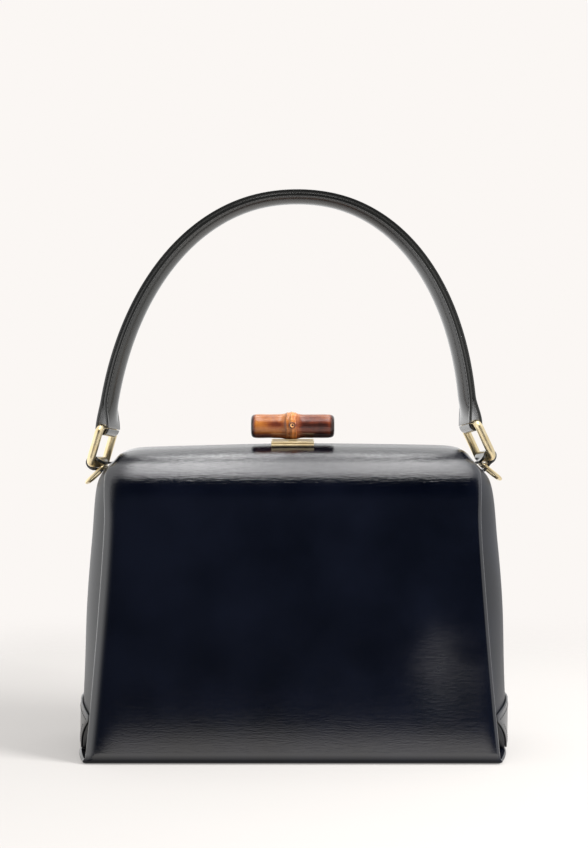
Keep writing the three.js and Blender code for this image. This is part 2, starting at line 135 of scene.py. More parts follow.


# %% [markdown]
# ## Box calf
# Box calf is chrome-tanned calfskin that was boarded, then glazed: rubbed under a glass roller until the
# grain lies flat and shines. To the eye it is a deep blue-black with a clear mirror in it, broken by short
# flat creases that run one way, and by pores of a third of a millimetre.
# The glaze is a clear coat over the dark hide. The creases are a noise that is stretched along X, and the
# pores a Voronoi pattern, drawn twice as coarse as they are so that they show.
# Use leaves its marks. Low on the right of the front, where the bag rubs against a coat, the glaze has worn
# dull in patches and the creases are deeper. They are deeper along the shoulder too, where the hide is bent.
# Over the lowest few millimetres, on which the bag stands, the glaze and the mirror fall to a fifth: painted
# shade, which darkens the foot like the shade where it meets the floor. One function makes all four leathers:
# the mirror of the panel, the duller gussets and patches, and the neutral black of the handle and tabs.

# %% Box calf
# sizes, places and heights in millimetres
CREASE_LONG, CREASE_HIGH, CREASE_DEEP = 7, 0.8, 0.3
PORE, PORE_DEEP = 0.6, 0.05
CLOUD = 45
WORN_AT, WORN_REACH = (92, -40, 58), 40
BEND_LOW, BEND_HIGH = 140, 165
# over the lowest millimetres the glaze and the mirror fall to a share: painted shade that darkens the foot
FOOT_LOW, FOOT_HIGH, SHADED_FOOT_MIRROR = 2, 5, 0.2
# how much duller, and how much deeper in its creases, leather gets where it is worn and where it is bent
WORN_MORE, BENT_MORE = (0.45, 0.4), (0.22, 1.3)
DULLER_CREASES = 0.05
HIDE_MIRROR, HIDE_IOR = 0.5, 1.55


def box_calf(name, creases, gloss, glaze, worn=0, bent=0, tones=("#010206", "#05070F")):
    """Black calfskin: depth of its creases, roughness, amount of clear glaze, wear, bending and two tones."""
    finish, tree, shader, place = new_finish(name)
    height = add(tree, "SeparateXYZ", {0: place}).outputs["Z"]
    squeezed = add(tree, "Mapping", {"Vector": place, "Scale": (CREASE_HIGH / CREASE_LONG, 1, 1)})
    crease = add(tree, "TexNoise", {
        "Vector": squeezed, "Scale": per_mm(CREASE_HIGH), "Detail": 4, "Roughness": 0.6})
    pore = add(tree, "TexVoronoi", {"Vector": place, "Scale": per_mm(PORE)})
    cloud = add(tree, "TexNoise", {"Vector": place, "Scale": per_mm(CLOUD), "Detail": 3})
    tint = add(tree, "ValToRGB", {"Fac": cloud}, stops=[(0.35, tones[0]), (0.65, tones[1])])

    spot = [value * MM for value in WORN_AT]
    away = add(tree, "VectorMath", {0: place, 1: spot}, operation="DISTANCE").outputs["Value"]
    rubbed = add(
        tree, "MapRange", {"Value": away, "From Min": WORN_REACH * MM, "From Max": 0, "To Max": worn},
        interpolation_type="SMOOTHSTEP")
    patchy = add(tree, "MapRange", {"Value": cloud, "From Min": 0.3, "From Max": 0.65})
    wear = add(tree, "Math", {0: rubbed, 1: patchy}, operation="MULTIPLY")
    bend = add(tree, "MapRange", {
        "Value": height, "From Min": BEND_LOW * MM, "From Max": BEND_HIGH * MM, "To Max": bent})
    dull = add(tree, "MapRange", {
        "Value": crease, "From Min": 0.3, "From Max": 0.7,
        "To Min": gloss, "To Max": gloss + DULLER_CREASES})
    deep = creases
    for amount, (duller, deeper) in ((wear, WORN_MORE), (bend, BENT_MORE)):
        dull = add(tree, "Math", {0: amount, 1: duller, 2: dull}, operation="MULTIPLY_ADD")
        deep = add(tree, "Math", {0: amount, 1: deeper, 2: deep}, operation="MULTIPLY_ADD")

    grain = add(tree, "Bump", {"Height": pore, "Strength": 0.08, "Distance": PORE_DEEP * MM})
    folds = add(tree, "Bump", {
        "Height": crease, "Strength": deep, "Distance": CREASE_DEEP * MM, "Normal": grain})
    # painted shade: the glaze and the mirror fade out at the foot, so it reads dark like the shade where it
    # meets the floor
    foot_shade = add(tree, "MapRange", {
        "Value": height, "From Min": FOOT_LOW * MM, "From Max": FOOT_HIGH * MM, "To Min": SHADED_FOOT_MIRROR})
    coat = add(tree, "Math", {0: foot_shade, 1: glaze}, operation="MULTIPLY")
    mirror = add(tree, "Math", {0: foot_shade, 1: HIDE_MIRROR}, operation="MULTIPLY")
    connect(shader, {
        "Base Color": tint, "Roughness": dull, "Coat Roughness": dull, "Normal": folds, "Coat Normal": folds,
        "Coat Weight": coat, "Specular IOR Level": mirror, "IOR": HIDE_IOR})
    return finish


panel_calf = box_calf("glazed_box_calf_panels", creases=0.015, gloss=0.045, glaze=1.0, worn=0.55, bent=0.32)
gusset_calf = box_calf("box_calf_gussets", creases=0.15, gloss=0.44, glaze=0.15)
patch_calf = box_calf("box_calf_patches", creases=0.1, gloss=0.3, glaze=0.5)
strap_calf = box_calf("box_calf_straps", creases=0.1, gloss=0.21, glaze=0.9, tones=("#0C0C0A", "#141412"))
print("leather finishes:", panel_calf.name, gusset_calf.name, patch_calf.name, strap_calf.name)

# %% [markdown]
# ## Thread
# The seams are sewn with waxed linen thread in black, with a soft low shine, duller than the leather's.
# Its twisted plies lie half a millimetre apart. That is too fine to show, so their wave is drawn six times as
# coarse, and tints one stitch a little against the next.

# %% Waxed linen thread
PLY_WAVE = 3.14
WAVES_PER_UNIT = 20 / (2 * math.pi)

waxed_thread, tree, shader, place = new_finish("waxed_linen_thread")
plies = add(tree, "TexWave", {
    "Vector": place, "Scale": per_mm(PLY_WAVE) / WAVES_PER_UNIT, "Distortion": 1.5})
colour = add(tree, "ValToRGB", {"Fac": plies.outputs["Fac"]}, stops=[(0, "#060607"), (1, "#111114")])
connect(shader, {"Base Color": colour, "Roughness": 0.8, "Specular IOR Level": 0.2})
print("thread finish:", waxed_thread.name)

# %% [markdown]
# ## Gilt brass
# The rings and plates are brass, polished and plated with pale gold. A metal's colour is the colour of its
# reflection, so the base colour is light and warm. Years of handling have softened the polish of the rings,
# and the plates were brushed to a satin, so both have some roughness. Faint polishing lines and a few duller
# clouds keep them from looking like computed mirrors.

# %% Pale gold plating
POLISH_LINE, LINE_DEEP = 0.4, 0.05
HANDLING = 6


def gold_plating(name, smooth, dull):
    """Pale gold on brass, whose roughness wanders between two values."""
    finish, tree, shader, place = new_finish(name)
    lines = add(tree, "TexNoise", {"Vector": place, "Scale": per_mm(POLISH_LINE), "Detail": 2})
    clouds = add(tree, "TexNoise", {"Vector": place, "Scale": per_mm(HANDLING), "Detail": 3})
    warmth = add(tree, "ValToRGB", {"Fac": clouds}, stops=[(0.3, "#E8D2A2"), (0.7, "#F3E3BE")])
    haze = add(tree, "MapRange", {
        "Value": clouds, "From Min": 0.3, "From Max": 0.7, "To Min": smooth, "To Max": dull})
    marks = add(tree, "Bump", {"Height": lines, "Strength": 0.05, "Distance": LINE_DEEP * MM})
    connect(shader, {"Base Color": warmth, "Roughness": haze, "Normal": marks, "Metallic": 1})
    return finish


pale_gold = gold_plating("polished_pale_gold_plating", smooth=0.28, dull=0.38)
satin_gold = gold_plating("satin_pale_gold_plating", smooth=0.4, dull=0.5)
print("metal finishes:", pale_gold.name, satin_gold.name)

# %% [markdown]
# ## Scorched bamboo
# The clasp is a length of bamboo that was coloured over a flame, then lacquered. The flame leaves it amber
# with red-brown clouds, nearly black where it lingered and at the rounded ends. Fibres run along the culm as
# fine streaks half a millimetre apart.
# How deep each place is scorched, with painted shade along the underside added in, is stored on the mesh as a
# number, "scorch_and_shade", which is worked out where the toggle is built. The material turns it to colour,
# and breaks its edge with the fibres.

# %% Scorched and lacquered bamboo
FIBRE_LONG, FIBRE_WIDE, FIBRE_DEEP = 9, 0.5, 0.15
MOTTLE = 2.5
FIBRE_SHARE, MOTTLE_SHARE = 0.35, 0.25

bamboo, tree, shader, place = new_finish("scorched_lacquered_bamboo")
stretched = add(tree, "Mapping", {"Vector": place, "Scale": (FIBRE_WIDE / FIBRE_LONG, 1, 1)})
fibre = add(tree, "TexNoise", {
    "Vector": stretched, "Scale": per_mm(FIBRE_WIDE), "Detail": 4, "Roughness": 0.65})
mottle = add(tree, "TexNoise", {"Vector": place, "Scale": per_mm(MOTTLE), "Detail": 3})
# the scorch, with painted shade along the underside, as it is stored on the mesh
burnt_and_shaded = add(tree, "Attribute", attribute_name="scorch_and_shade").outputs["Fac"]
for pattern, part in ((fibre, FIBRE_SHARE), (mottle, MOTTLE_SHARE)):
    burnt_and_shaded = add(tree, "Math", {0: pattern, 1: part, 2: burnt_and_shaded}, operation="MULTIPLY_ADD")
colour = add(tree, "ValToRGB", {"Fac": burnt_and_shaded}, stops=[
    (0.0, "#DCC79A"), (0.16, "#AC783A"), (0.3, "#8A5220"), (0.48, "#6C3817"),
    (0.66, "#4C1E0E"), (0.84, "#280D06"), (1.0, "#120503")])
ribs = add(tree, "Bump", {"Height": fibre, "Strength": 0.25, "Distance": FIBRE_DEEP * MM})
connect(shader, {
    "Base Color": colour, "Normal": ribs, "Roughness": 0.5, "Specular IOR Level": 0.2,
    "Coat Weight": 0.9, "Coat Roughness": 0.18})
print("wood finish:", bamboo.name)

# %% [markdown]
# ## From points to pieces
# Each piece is a skin over a row of closed sections, which is called a loft. It suits leather well, because a
# strap or a panel is one section drawn along a path. The skin is closed at its ends and turned outwards,
# then rides on a body of the frame and stands for the CAD nodes that it shows.

# %% Lofts
BAG = "bag"
CLASP = "clasp_toggle"


def loft(sections, ring=False):
    """Points and faces of a closed skin over sections of equal count; a ring joins its last to its first."""
    sections = np.asarray(sections, float)
    total, count = sections.shape[:2]
    faces = []
    for row in range(total if ring else total - 1):
        here, after = row * count, (row + 1) % total * count
        for i in range(count):
            following = (i + 1) % count
            faces.append((here + i, here + following, after + following, after + i))
    last = (total - 1) * count
    for i in range(0 if ring else count // 2 - 1):
        far = count - 1 - i
        faces += [(i, far, far - 1, i + 1), (last + i, last + i + 1, last + far - 1, last + far)]
    points = sections.reshape(-1, 3)
    a, b, c, d = (points[np.array(faces)[:, k]] for k in range(4))
    volume = np.sum(np.cross(b, c) * a) + np.sum(np.cross(c, d) * a)
    return points, faces if volume > 0 else [face[::-1] for face in faces]


def make_piece(name, skin, finish, nodes=(), body=BAG):
    """A smooth mesh from points in millimetres and faces, riding on a body in place of CAD nodes."""
    points, faces = skin
    mesh = bpy.data.meshes.new(name)
    mesh.from_pydata((np.asarray(points) * MM).tolist(), [], faces)
    mesh.polygons.foreach_set("use_smooth", np.ones(len(mesh.polygons), bool))
    mesh.materials.append(finish)
    piece = bpy.data.objects.new(name, mesh)
    bpy.context.scene.collection.objects.link(piece)
    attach(piece, body)
    if nodes:
        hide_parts(*nodes)
    print(name, "has", len(mesh.polygons), "faces")
    return piece


# %% [markdown]
# ## The panel's section
# Front, base and back are one piece of calf. Its section is a curve through a short table: from the mouth
# over the roof and the round shoulder, down the front and round into the base. The half width at each height
# is in the table too, so the same curve gives the slanting side edges.

# %% Section of the panel
# half width, y and z of points from the mouth down the front, and the rows of mesh from each to the next
PANEL_TABLE = np.array([
    (101.0, -0.4, 182.4), (104.0, -8.0, 180.0), (106.0, -16.0, 175.9), (109.5, -23.0, 169.4),
    (110.2, -27.5, 161.4), (110.0, -30.0, 152.4), (109.6, -31.5, 138.4), (112.6, -37.5, 81.4),
    (116.2, -43.0, 30.4), (118.6, -45.9, 3.0)])
STEPS = [6, 6, 6, 6, 5, 5, 12, 12, 8]
CORNER_ROWS, BASE_ROWS = 9, 14
BASE_DEPTH = 43.2
BASE_HALF, BASE_BOW = 120, 7


def smooth_line(points, places):
    """A curve through points, at places such as 2.5, which is half way from point 2 to point 3."""
    points = np.asarray(points, float)
    padded = np.vstack([2 * points[0] - points[1], points, 2 * points[-1] - points[-2]])
    line = []
    for place in places:
        i = min(int(place), len(points) - 2)
        t = place - i
        a, b, c, d = padded[i:i + 4]
        ab, bc, cd = (math.dist(p, q) ** 0.5 for p, q in ((a, b), (b, c), (c, d)))
        leave = ((b - a) / ab - (c - a) / (ab + bc) + (c - b) / bc) * bc
        reach = ((c - b) / bc - (d - b) / (bc + cd) + (d - c) / cd) * bc
        curve = (2 * b - 2 * c + leave + reach) * t ** 3 + (3 * c - 3 * b - 2 * leave - reach) * t ** 2
        line.append(curve + leave * t + b)
    return np.array(line)


def half_section():
    """Rows of half width, y and z, from the mouth down the front to the middle of the base."""
    places = np.concatenate([i + np.arange(n) / n for i, n in enumerate(STEPS)])
    upper = smooth_line(PANEL_TABLE, places)
    foot_half, foot_y, foot_z = PANEL_TABLE[-1]
    turn = np.linspace(0, math.pi / 2, CORNER_ROWS)
    corner = np.column_stack([
        foot_half + (BASE_HALF - foot_half) * np.sin(turn),
        -BASE_DEPTH + (foot_y + BASE_DEPTH) * np.cos(turn),
        foot_z * (1 - np.sin(turn))])
    y = np.linspace(-BASE_DEPTH, 0, BASE_ROWS)[1:]
    base = np.column_stack([BASE_HALF + BASE_BOW * (1 - (y / BASE_DEPTH) ** 2), y, 0 * y])
    return np.vstack([upper, corner, base])


front_rows = half_section()
section = np.vstack([front_rows, front_rows[-2::-1] * (1, -1, 1)])
slope = np.gradient(section[:, 1:], axis=0)
outward = np.column_stack([slope[:, 1], -slope[:, 0]])
outward /= np.linalg.norm(outward, axis=1)[:, None]
outward[[0, -1]] = (0, 1)
print("the panel's section has", len(section), "rows")

# %% [markdown]
# ## The body
# The leather wall is 2 mm thick with a burnished round edge, which shows as a thin light line down each side.
# So each row of the panel is a closed loop: across the outside, round the edge, back across the inside and
# round the other edge. The upper front swells by half a millimetre, and its foot stays flat, so that it
# mirrors the floor as an even band. The ridge sags to both sides, more to the left, and falls off at its very
# ends. The front rolls back to its side edges, widely on the left. At the mouth the wall is pinched to a lip.

# %% Body panel
PANEL_WALL = 2.0
ACROSS_COUNT, EDGE_COUNT = 72, 8
# how far the round of an edge reaches in, in halves of the wall
EDGE_SOFT = 2.2
PUFF, PUFF_LOW, PUFF_HIGH = 0.5, 45, 167
# heights between which the sag sets in, the power by which it does, then the depth and power of each sag
SHOULDER_Z, RIDGE_Z, SAG_ONSET = 161.4, 182.4, 1.5
SAG_LEFT, SAG_RIGHT, SAG_END = (2.6, 1.2), (1.4, 1.6), (1.8, 24)
# depth and width of each roll, the power of its curve, and the heights over which it fades out
ROLL_LEFT, ROLL_RIGHT, ROLL_POWER = (1.8, 18), (0.5, 7), 3
ROLL_FOOT, ROLL_TOP, ROLL_FADE = 2.5, 188, 20
LIP = 0.3


def wall_loop(half, wall, count):
    """Places across a panel, as a share of its half width, with depths under its face, round both edges."""
    soft = EDGE_SOFT * wall / 2
    flat = np.linspace(soft - half, half - soft, count)
    turn = np.linspace(0, math.pi, EDGE_COUNT + 2)[1:-1]
    edge = half - soft + soft * np.sin(turn)
    across = np.concatenate([flat, edge, flat[::-1], -edge[::-1]]) / half
    under = wall / 2 * (1 - np.cos(turn))
    depth = np.concatenate([np.zeros(count), under, np.full(count, wall), under[::-1]])
    return np.roll(across, EDGE_COUNT // 2), np.roll(depth, EDGE_COUNT // 2)


def ridge_sag(share):
    """How far the ridge lies below its middle."""
    off = np.abs(share)
    left, right, ends = (deep * off ** power for deep, power in (SAG_LEFT, SAG_RIGHT, SAG_END))
    return np.where(share < 0, left, right) + ends


def edge_roll(half, share, z):
    """How far the face lies back near the side edges, between the base and the mouth."""
    left, right = (
        deep * np.clip(1 - away / wide, 0, 1) ** ROLL_POWER
        for (deep, wide), away in ((ROLL_LEFT, half * (1 + share)), (ROLL_RIGHT, half * (1 - share))))
    return (left + right) * np.clip(z / ROLL_FOOT, 0, 1) * np.clip((ROLL_TOP - z) / ROLL_FADE, 0, 1)


def panel_points(row, share, depth):
    """Points of one row of the panel, at a depth under its outer face."""
    half, y, z = section[row]
    height = np.clip((z - PUFF_LOW) / (PUFF_HIGH - PUFF_LOW), 0, 1)
    out = PUFF * np.sin(math.pi * height) ** 2 * (1 - share ** 2) - edge_roll(half, share, z) - depth
    top = np.clip((z - SHOULDER_Z) / (RIDGE_Z - SHOULDER_Z), 0, 1) ** SAG_ONSET
    return np.column_stack([
        half * share,
        y + outward[row][0] * out,
        z + outward[row][1] * out - top * ridge_sag(share)])


def panel_sections():
    """All rows of the panel, with a pinched lip before the first and after the last."""
    rows = []
    for row in range(len(section)):
        share, depth = wall_loop(section[row][0], PANEL_WALL, ACROSS_COUNT)
        rows.append(panel_points(row, share, depth))
    for end, to_mouth in ((0, LIP), (-1, -LIP)):
        share, depth = wall_loop(section[end][0], PANEL_WALL, ACROSS_COUNT)
        lip = panel_points(end, share, (depth + PANEL_WALL / 2) / 2) + (0, to_mouth, 0)
        rows.insert(0 if end == 0 else len(rows), lip)
    return rows


make_piece("leather_body", loft(panel_sections()), panel_calf, ["body_wrap"])

# %% [markdown]
# ## Gussets
# The sides are separate gussets, sewn in just behind the panel's edges and blown out between them. Low at
# the front and back they fold inwards, beside a patch, so that the bag can close. A gusset is a grid over
# height and depth whose distance from the middle comes from one function, which the patch and tab use too.
# The right one is blown out a tenth more and the left one a tenth less, as the bag leans into its shape.

# %% Gusset surface
GAP = 0.3
# height, and the distance there of the gussets' middle line from the middle of the bag
MIDDLE_TABLE = np.array([
    (0, 125.2), (26, 125.8), (51, 125.2), (87, 124.4),
    (124, 121.6), (160.4, 117.2), (168.4, 111.2), (175.4, 103.6)])
MIDDLE_FINE = 90
GUSSET_INSET = 1.0
SWELL_POWER, UNEVEN = 2.2, 0.1
LEAST_RISE = 1e-4
DENT_DEPTH, DENT_RUN, DENT_MARGIN = 11, 4, 1
PATCH_LOW, PATCH_FOOT, PATCH_SLOPE = 2.6, 14, 1.25

edge_rows = [panel_points(i, np.array([1.0]), PANEL_WALL + GAP)[0] for i in range(1, len(front_rows))]
edge_line = np.array([(z, -y, front_rows[i + 1][0]) for i, (_, y, z) in enumerate(edge_rows)])[::-1]
edge_line = edge_line[np.append(np.diff(edge_line[:, 0]) > LEAST_RISE, True)]
middle_line = smooth_line(MIDDLE_TABLE, np.linspace(0, len(MIDDLE_TABLE) - 1, MIDDLE_FINE))
print("the gussets swell to", middle_line[:, 1].max().round(1), "mm from the middle")


def edge_depth(z):
    return np.interp(z, edge_line[:, 0], edge_line[:, 1])


def patch_diagonal(z):
    return PATCH_FOOT + (z - PATCH_LOW) * PATCH_SLOPE


def ease(value):
    """A smooth step from 0 to 1."""
    value = np.clip(value, 0, 1)
    return value * value * (3 - 2 * value)


def gusset_face(z, y, side):
    """Distance of a gusset's outer face from the bag's middle plane."""
    edge = np.interp(z, edge_line[:, 0], edge_line[:, 2]) - GUSSET_INSET
    share = np.clip(np.abs(y) / edge_depth(z), 0, 1)
    swell = (np.interp(z, middle_line[:, 0], middle_line[:, 1]) - edge) * (1 - share ** SWELL_POWER)
    past = np.abs(y) - patch_diagonal(z) - DENT_MARGIN
    return edge + swell * (1 + UNEVEN * side) - DENT_DEPTH * ease(past / DENT_RUN)


# %% Gussets
GUSSET_WALL = 1.8
GUSSET_LOW, GUSSET_HIGH = 2.3, 175.4
GUSSET_ROWS, GUSSET_COUNT = 160, 120

for name, side in (("left", -1), ("right", 1)):
    rows = []
    for z in np.linspace(GUSSET_LOW, GUSSET_HIGH, GUSSET_ROWS):
        half = edge_depth(z)
        share, depth = wall_loop(half, GUSSET_WALL, GUSSET_COUNT)
        y = share * half
        rows.append(np.column_stack([side * (gusset_face(z, y, side) - depth), y, np.full(len(y), z)]))
    make_piece("leather_gusset_" + name, loft(rows), gusset_calf, ["gusset_" + name])

# %% [markdown]
# ## Patches
# A stitched patch reinforces the foot of each gusset. Its top edge is crowned and its lower edges slant in
# to the base, which leaves the dark folds beside it. It is a second, thinner wall over the gusset's surface.

# %% Patches
PATCH_WALL = 1.3
PATCH_EDGE_TOP, PATCH_CROWN = 26.5, 5.3
PATCH_MARGIN = 0.9
PATCH_ROWS, PATCH_COUNT = 36, 48


def patch_top(share):
    return PATCH_EDGE_TOP + PATCH_CROWN * (1 - share ** 2)


def patch_half(z):
    return np.minimum(patch_diagonal(z), edge_depth(z) - PATCH_MARGIN)


for name, side in (("left", -1), ("right", 1)):
    rows = []
    for rise in np.linspace(0, 1, PATCH_ROWS):
        share, depth = wall_loop(PATCH_FOOT, PATCH_WALL, PATCH_COUNT)
        z = PATCH_LOW + (patch_top(share) - PATCH_LOW) * rise
        y = share * patch_half(z)
        x = gusset_face(z, y, side) + GAP + PATCH_WALL - depth
        rows.append(np.column_stack([side * x, y, z]))
    make_piece("leather_patch_" + name, loft(rows), patch_calf, ["gusset_patch_" + name])

# %% [markdown]
# ## Stitches
# A saddle stitch is a row of short threads that dive into the leather at both ends. Each one is a small
# spindle that lies on the surface along the seam, so a seam is a path with a surface direction at each
# point. The path is first cut to equal steps, because a real seam has an even pitch.

# %% Stitch rows
PITCH, STITCH, THREAD = 2.6, 1.9, 0.55
THREAD_SIDES, THREAD_FLAT = 8, 0.8
PROBE = 0.5
# along a stitch: place as a share of its length, share of the thread's thickness, lift in half thicknesses
STITCH_SHAPE = [(-0.5, 0.15, -0.9), (-0.36, 0.8, -0.1), (0, 1, 0.2), (0.36, 0.8, -0.1), (0.5, 0.15, -0.9)]


def full_turn(count):
    """Angles in equal steps round a circle."""
    return np.arange(count) * 2 * math.pi / count


def unit(vectors):
    """Vectors, or one alone, brought to length 1."""
    return vectors / np.linalg.norm(vectors, axis=-1, keepdims=True)


def along_path(values, length, spots):
    """Vectors that are known at lengths along a path, read at other places along it."""
    return np.column_stack([np.interp(spots, length, values[:, k]) for k in range(3)])


def stitch_row(path, normals):
    """Sections of the stitches along a path, which lie on the surface with those normals."""
    path, normals = np.asarray(path), np.asarray(normals)
    length = np.concatenate([[0], np.cumsum(np.linalg.norm(np.diff(path, axis=0), axis=1))])
    count = int(length[-1] / PITCH)
    spots = (np.arange(count) + 0.5) * length[-1] / count
    centre, normal = along_path(path, length, spots), unit(along_path(normals, length, spots))
    run = unit(along_path(path, length, spots + PROBE) - along_path(path, length, spots - PROBE))
    across = unit(np.cross(normal, run))
    turns = full_turn(THREAD_SIDES)
    stitches = []
    for place, size, lift in STITCH_SHAPE:
        middle = centre + run * place * STITCH + normal * lift * THREAD / 2
        stitches.append(np.stack([
            middle + (across * math.cos(t) + normal * math.sin(t) * THREAD_FLAT) * size * THREAD / 2
            for t in turns], axis=1))
    return np.stack(stitches, axis=1)


def joined(skins):
    """Points and faces of several skins as one."""
    points, faces = [], []
    for some, around in skins:
        faces += [tuple(i + len(points) for i in face) for face in around]
        points += some.tolist()
    return points, faces


def sew(name, rows):
    """One piece of thread from several rows of stitches."""
    make_piece(name, joined(loft(stitch) for stitch in np.concatenate(rows)), waxed_thread)


# %% Seams of the patches
SEAM_IN, SEAM_SPAN = 3.2, 0.97
TOP_FINE, LEG_FINE = 60, 20
# how far in the ends of the top seam and the two legs lie, as shares of the seam's own inset
TOP_SHARE, LEG_SHARE = 0.5, 1.25
SLOPE_STEP = 0.2


def gusset_normals(z, y, side):
    """The way out of a gusset's face, from its slopes."""
    up, down = (gusset_face(z + step, y, side) for step in (SLOPE_STEP, -SLOPE_STEP))
    back, front = (gusset_face(z, y + step, side) for step in (SLOPE_STEP, -SLOPE_STEP))
    by_z, by_y = (up - down) / (2 * SLOPE_STEP), (back - front) / (2 * SLOPE_STEP)
    return np.column_stack([np.full(len(z), side), -by_y, -by_z])


for name, side in (("left", -1), ("right", 1)):
    share = np.linspace(-SEAM_SPAN, SEAM_SPAN, TOP_FINE)
    top_z = patch_top(share) - SEAM_IN
    top = np.column_stack([share * (patch_half(top_z) - TOP_SHARE * SEAM_IN), top_z])
    leg_z = np.linspace(PATCH_LOW + SEAM_IN, top[0, 1] - SEAM_IN, LEG_FINE)
    leg = np.column_stack([-(patch_half(leg_z) - LEG_SHARE * SEAM_IN), leg_z])
    seams = []
    for y, z in (top.T, leg.T, (leg * (-1, 1)).T):
        x = side * (gusset_face(z, y, side) + GAP + PATCH_WALL)
        seams.append(stitch_row(np.column_stack([x, y, z]), gusset_normals(z, y, side)))
    sew("stitches_patch_" + name, seams)

# %% [markdown]
# ## The handle's path
# The handle is two layers of calf, sewn back to back, that arch from ring to ring. Its line is a
# superellipse that leans a little to one side. Away from its top the strap turns towards the front, because
# the rings are set at an angle. At each point the strap needs three things: its centre, the way out of the
# arch, and the way across its width. Close to a ring it bends aside to the ring's bar.

# %% Path of the strap
ARCH_HALF, ARCH_BASE, ARCH_RISE, ARCH_POWER = 110, 172.4, 159.2, 2.14
LEAN_SHIFT, LEAN_SLOPE, LEAN_FROM = -2.67, 0.042, 204
TOE_IN = math.radians(11)
RING_LENGTH, RING_WIDTH, RING_WIRE, RING_TOE = 21.6, 24.6, 2.4, math.radians(14)
# name, side, x and z of the handle ring's upper bar, tilt of that ring, slope of the strap ring
SIDES = [("left", -1, -111.5, 190.9, 16.3, 43), ("right", 1, 107.2, 193.3, 25, 39)]


def turned(angle):
    """The way across the strap, turned about the vertical."""
    return np.array([-math.sin(angle), math.cos(angle), 0])


def square_to(direction, other):
    return unit(direction - other * np.dot(direction, other))


def strap_centre(angle):
    """The middle of the strap, from its right foot at angle 0 to its left one at pi."""
    power = 2 / ARCH_POWER
    z = ARCH_BASE + ARCH_RISE * abs(math.sin(angle)) ** power
    reach = ARCH_HALF * abs(math.cos(angle)) ** power
    lean = LEAN_SHIFT + LEAN_SLOPE * (z - LEAN_FROM)
    return np.array([math.copysign(reach, math.cos(angle)) + lean, 0, z])


def strap_angle(side, z):
    angle = math.asin(((z - ARCH_BASE) / ARCH_RISE) ** (ARCH_POWER / 2))
    return angle if side > 0 else math.pi - angle


rings = {}
for name, side, bar_x, bar_z, tilt, hang in SIDES:
    upper = np.array([bar_x, 0, bar_z])
    down = np.array([side * math.sin(math.radians(tilt)), 0, -math.cos(math.radians(tilt))])
    rings[side] = {
        "name": name, "side": side, "upper": upper, "lower": upper + down * RING_LENGTH, "down": down,
        "across": square_to(turned(side * RING_TOE), down), "bar_z": bar_z, "hang": math.radians(hang),
        "aside": upper - strap_centre(strap_angle(side, bar_z))}
print("ring bars:", {ring["name"]: ring["upper"].round(1).tolist() for ring in rings.values()})

# %% [markdown]
# ## The handle's layers
# The strap's section has round edges and a shallow groove for each seam. The outer layer is thinned at its
# ends and goes half way round the ring's bar. The inner layer is padded, so its face swells between the two
# seams, and it butts against the end of that loop.

# %% Strap section and stations
LAYER_WIDTH, LAYER_THICK, LAYER_OFFSET = 20.5, 2.0, 1.05
END_WIDTH, END_THICK, END_BLEND = 18.3, 1.6, 18
LOOP_RADIUS = RING_WIRE + GAP + END_THICK / 2
EDGE_ROUND = 0.3
GROOVE_IN, GROOVE_DEEP, GROOVE_WIDE = 1.5, 0.3, 0.7
BORDER_FINE, GROOVE_FINE, FACE_FINE, ROUND_FINE = 3, 7, 6, 5
STATION_STEP = 0.01


def strap_section(width, thick, crown, groove):
    """Places across and through a strap, clockwise from the middle of its left edge."""
    half, deep = width / 2, thick / 2
    across = np.concatenate([
        np.linspace(0, GROOVE_IN - GROOVE_WIDE, BORDER_FINE)[:-1],
        np.linspace(GROOVE_IN - GROOVE_WIDE, GROOVE_IN + GROOVE_WIDE, GROOVE_FINE),
        np.linspace(GROOVE_IN + GROOVE_WIDE, half, FACE_FINE)[1:]])
    reach = half - EDGE_ROUND - across
    u = np.concatenate([-reach, reach[-2::-1]])
    padded = half - EDGE_ROUND - GROOVE_IN
    dip = groove * np.clip(1 - ((np.abs(u) - padded) / GROOVE_WIDE) ** 2, 0, 1) ** 2
    face = deep + crown * np.clip(1 - (u / padded) ** 2, 0, 1) - dip
    turn = np.linspace(0, math.pi / 2, ROUND_FINE)[1:]
    right = np.column_stack([
        half - EDGE_ROUND + EDGE_ROUND * np.sin(turn),
        deep - EDGE_ROUND + EDGE_ROUND * np.cos(turn)])
    top = np.column_stack([u, face])
    bottom = np.column_stack([u[::-1], np.full(len(u), -deep)])
    left, low_right, low_left = right[::-1] * (-1, 1), right[::-1] * (1, -1), right * (-1, -1)
    return np.vstack([left, top, right, low_right, bottom, low_left])


def strap_station(angle):
    """Centre, way out, way across, and how far from its ring the strap is: 0 at the bar, 1 past the blend."""
    centre = strap_centre(angle)
    run = unit(strap_centre(angle + STATION_STEP) - strap_centre(angle - STATION_STEP))
    turn = TOE_IN * centre[0] / ARCH_HALF
    out = np.array([run[2] * math.cos(turn), run[2] * math.sin(turn), -run[0]])
    ring = rings[-1 if centre[0] < 0 else 1]
    blend = ease((centre[2] - ring["upper"][2]) / END_BLEND)
    across = unit(ring["across"] * (1 - blend) + turned(turn) * blend)
    return centre + ring["aside"] * (1 - blend), square_to(out, across), across, blend


def placed(section_uv, centre, out, across):
    """A flat section at its place on the strap."""
    return centre + section_uv[:, :1] * across + section_uv[:, 1:] * out


print("one strap section has", len(strap_section(LAYER_WIDTH, LAYER_THICK, 0, GROOVE_DEEP)), "points")

# %% Handle layers
ARCH_COUNT, HOOK_COUNT = 230, 18
OUTER_CROWN, INNER_CROWN = 0.2, 3.4
INNER_START = 0.5
# where on the blend the seams start, and how deep in the groove the thread lies
SEAM_START, THREAD_SINK = 0.5, 0.6


def mixed(low, high, share):
    return low + (high - low) * share


